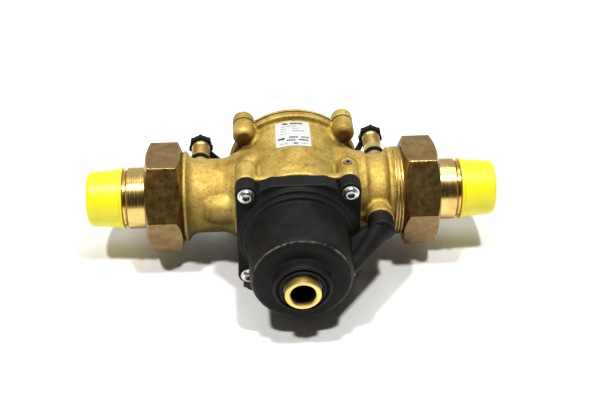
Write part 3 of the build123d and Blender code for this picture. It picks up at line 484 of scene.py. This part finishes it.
def build_body_casting():
    """The brass body with the soft edges and filleted corners of a casting."""
    thread_from, thread_to = at(68.0, 0, 0).x, at(-84.0, 0, 0).x
    swelling_from, swelling_side = at(-44.0, 0, 0).x, at(0, -20.0, 0).y
    label_side = at(0, 20.0, 0).y

    def weight(spots):
        along, across = spots[:, 0], spots[:, 1]
        soft = ((along < thread_from) & (along > thread_to)).astype(float)
        swelling = (along < swelling_from) & (across < swelling_side)
        label = (abs(along - CENTRE.x) < 0.017) & (across > label_side) & (spots[:, 2] > CENTRE.z + 0.035)
        return soft * np.where(label, 0.3, np.where(swelling, 0.75, 1.0))

    mesh = softened(remeshed("valve_body", 0.8, "body_casting"), 6, weight, 14)
    return new_piece("body_casting", mesh, ROOT, "cast_brass", stands_for=["valve_body"])


def build_cover_casting():
    mesh = softened(remeshed("top_cover", 0.8, "cover_casting"), 5, lambda spots: np.ones(len(spots)), 10)
    return new_piece("cover_casting", mesh, ROOT, "cast_brass", stands_for=["top_cover"])


def build_flexing_pieces():
    """Springs, diaphragm and straps, each copied into a piece of its own that stands for its CAD node; the ends it
    would bend between are worked out but not used.
    """
    slots = {part["node"]: part["material_slot"] for part in frame["record"]["subparts"]}
    for joint in frame["record"]["behaviour"]["joints"]:
        for flexing in joint.get("deforming_nodes", []):
            node, letter = flexing["node"], flexing["mode"][-1]
            axis = "xyz".index(letter)
            held = flexing[f"fixed_end_{letter}_m"]
            low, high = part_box(node)
            moved = max(low[axis], high[axis], key=lambda end: abs(end - held))
            start, end = list(CENTRE), list(CENTRE)
            start[axis], end[axis] = held, moved
            mesh = nodes[node].data.copy()
            piece = new_piece(node + "_flexing", mesh, None, slots[node], stands_for=[node])
            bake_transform(piece)


def build_thread_turns():
    """The turns of the body's thread that show beside the inlet nut, as sharp as they were cut."""
    crests = [73.3 + turn * THREAD_PITCH for turn in range(3)]
    profile = [(71.5, 30.6), (71.5, THREAD_ROOT_R)]
    for crest in crests:
        profile += [(crest - 1.0, THREAD_ROOT_R), (crest - 0.35, THREAD_CREST_R),
                    (crest + 0.35, THREAD_CREST_R), (crest + 1.0, THREAD_ROOT_R)]
    profile += [(79.3, THREAD_ROOT_R), (79.3, 30.6)]
    shape = bmesh.new()
    rings = []
    for step in range(THREAD_STEPS):
        turn = math.tau * step / THREAD_STEPS
        rings.append([shape.verts.new(at(x, r * math.cos(turn), r * math.sin(turn))) for x, r in profile])
    for here, there in zip(rings, rings[1:] + rings[:1]):
        for side in range(len(profile)):
            after = (side + 1) % len(profile)
            shape.faces.new((here[side], here[after], there[after], there[side]))
    bmesh.ops.recalc_face_normals(shape, faces=shape.faces)
    mesh = bpy.data.meshes.new("thread_turns")
    shape.to_mesh(mesh)
    return new_piece("thread_turns", mesh, ROOT, "cast_brass", "thread_brass")


def build_housing_moulding():
    """The black housing with moulded edge radii."""
    mesh = softened(remeshed("relief_housing", 0.6, "housing_moulding"), 3,
                    lambda spots: np.ones(len(spots)), 5)
    return new_piece("housing_moulding", mesh, ROOT, "black_plastic", "housing_black",
                     ["relief_housing"])


# ---------------------------------------------------------------------------- printing

LABEL_R = 45.85                   # just above the film, about the relief axis


def build_label_print():
    """Rows of plain dashes and solid bars that say nothing."""
    shape = bmesh.new()

    def bar(x0, x1, y0, y1):
        """A thin patch that follows the label's curve, x and y in millimetres from the centre."""
        steps = max(2, round((x1 - x0) / 0.8))
        rows = []
        for step in range(steps + 1):
            x = x0 + (x1 - x0) * step / steps
            z = math.sqrt(LABEL_R ** 2 - x ** 2)
            rows.append([shape.verts.new(at(x, y, z)) for y in (y0, y1)])
        for here, there in zip(rows, rows[1:]):
            shape.faces.new((here[0], there[0], there[1], here[1]))

    def dashes(y, tall, x0, x1, lengths, gap=0.6):
        x, turn = x0, 0
        while x < x1:
            reach = min(x1, x + lengths[turn % len(lengths)])
            bar(x, reach, y, y + tall)
            x, turn = reach + gap, turn + 1

    bar(-8.8, -5.2, 25.5, 26.9)
    bar(-7.6, -4.2, 24.6, 25.9)
    dashes(24.7, 2.1, -2.8, 6.6, (1.5, 1.3, 1.7, 1.1, 1.6), 0.3)
    dashes(22.0, 0.6, -9.6, 1.2, (1.9, 1.2, 2.6, 0.8))
    dashes(18.9, 0.6, -9.8, -5.4, (2.2, 1.3))
    dashes(18.9, 0.6, -1.2, 3.4, (1.4, 2.4, 0.9))
    dashes(15.6, 0.7, -9.9, -7.0, (1.1, 2.0))
    dashes(15.3, 0.9, -0.8, 7.8, (1.4, 1.0, 2.0), 0.4)
    dashes(12.2, 0.6, -10.2, -5.8, (1.6, 1.0))
    for x0, x1, y0, y1 in ((-12.4, -9.6, 5.2, 7.2), (-11.8, -8.0, 5.6, 6.9), (-9.6, -7.4, 5.0, 7.6)):
        bar(x0, x1, y0, y1)
    dashes(6.6, 1.9, -3.8, 2.6, (1.3, 1.6, 1.1), 0.25)
    dashes(6.9, 1.6, 5.0, 10.8, (1.7, 1.0, 1.4), 0.35)
    dashes(3.0, 1.6, -5.8, 0.8, (1.1, 1.4, 1.7), 0.25)
    dashes(3.2, 1.8, 3.2, 9.8, (1.8, 2.1, 0.9), 0.25)
    dashes(-0.6, 0.6, -11.2, -5.6, (1.8, 0.9))
    dashes(-1.3, 1.7, -1.0, 2.4, (2.2, 0.9), 0.25)
    dashes(-0.6, 0.6, 4.6, 9.4, (1.1, 1.7))
    mesh = bpy.data.meshes.new("label_print")
    shape.to_mesh(mesh)
    return new_piece("label_print", mesh, ROOT, "label", "ink")


# ---------------------------------------------------------------------------- stage

def build_floor():
    """White paper, wide enough to fill any view."""
    mesh = bpy.data.meshes.new("floor")
    shape = bmesh.new()
    bmesh.ops.create_grid(shape, x_segments=1, y_segments=1, size=6.0)
    shape.to_mesh(mesh)
    floor = bpy.data.objects.new("floor", mesh)
    bpy.context.scene.collection.objects.link(floor)
    paper = Paint("paper", Roughness=0.9)
    paper.drive("Base Color", paper.ramp(paper.noise(9, 4), (0.3, (0.93, 0.93, 0.935)),
                                         (0.7, (0.96, 0.96, 0.955))))
    paper.drive("Normal", paper.bump(paper.noise(900, 2), 0.00005, 0.3))
    mesh.materials.append(paper.material)


def build_world():
    """A room that is bright behind the valve and dim on the near side."""
    world = bpy.data.worlds.new("studio")
    bpy.context.scene.world = world
    world.use_nodes = True
    tree = world.node_tree
    way = tree.nodes.new("ShaderNodeTexCoord")
    parts = tree.nodes.new("ShaderNodeSeparateXYZ")
    tree.links.new(way.outputs["Generated"], parts.inputs["Vector"])
    ramp = tree.nodes.new("ShaderNodeValToRGB")
    tree.links.new(parts.outputs["Y"], ramp.inputs["Fac"])
    marks = ramp.color_ramp.elements
    marks[0].position, marks[0].color = 0.1, (*ROOM_NEAR, 1.0)
    marks[1].position, marks[1].color = 0.75, (*ROOM_FAR, 1.0)
    tree.links.new(ramp.outputs["Color"], tree.nodes["Background"].inputs["Color"])
    tree.nodes["Background"].inputs["Strength"].default_value = 1.0


ROOM_NEAR, ROOM_FAR = (0.03, 0.028, 0.025), (0.62, 0.63, 0.65)
LAMPS = (                         # name, place, edge of the square, watts, colour
    ("key_left", (-0.54, -0.38, 1.80), 0.14, 23.0, (1.0, 0.985, 0.96)),
    ("key_right", (0.34, -0.38, 1.80), 0.14, 23.0, (1.0, 0.985, 0.96)),
    ("back", (0.12, 0.42, 1.35), 0.6, 6.0, (0.97, 0.98, 1.0)),
)


def build_lamps():
    for name, place, edge, power, colour in LAMPS:
        data = bpy.data.lights.new(name, "AREA")
        data.size, data.energy, data.color = edge, power, colour
        lamp = bpy.data.objects.new(name, data)
        lamp.location = place
        lamp.rotation_euler = (Vector(place) - CENTRE).to_track_quat("Z", "Y").to_euler()
        bpy.context.scene.collection.objects.link(lamp)


VIEW_AZIMUTH, VIEW_ELEVATION = math.radians(-2.92), math.radians(37.21)
EYE = (-29.4, -647.7, 485.5)      # millimetres from the valve's centre
LENS = 64.2                       # on a 36 mm wide sensor


def build_camera():
    data = bpy.data.cameras.new("camera")
    data.lens = LENS
    camera = bpy.data.objects.new("camera", data)
    bpy.context.scene.collection.objects.link(camera)
    back = Vector((math.sin(VIEW_AZIMUTH) * math.cos(VIEW_ELEVATION),
                   -math.cos(VIEW_AZIMUTH) * math.cos(VIEW_ELEVATION), math.sin(VIEW_ELEVATION)))
    camera.location = at(*EYE)
    camera.rotation_euler = back.to_track_quat("Z", "Y").to_euler()
    bpy.context.scene.camera = camera


bpy.context.scene.view_settings.view_transform = "Standard"
finish_cad_nodes()
build_body_casting()
build_cover_casting()
build_flexing_pieces()
build_thread_turns()
build_housing_moulding()
build_label_print()
build_floor()
build_world()
build_lamps()
build_camera()
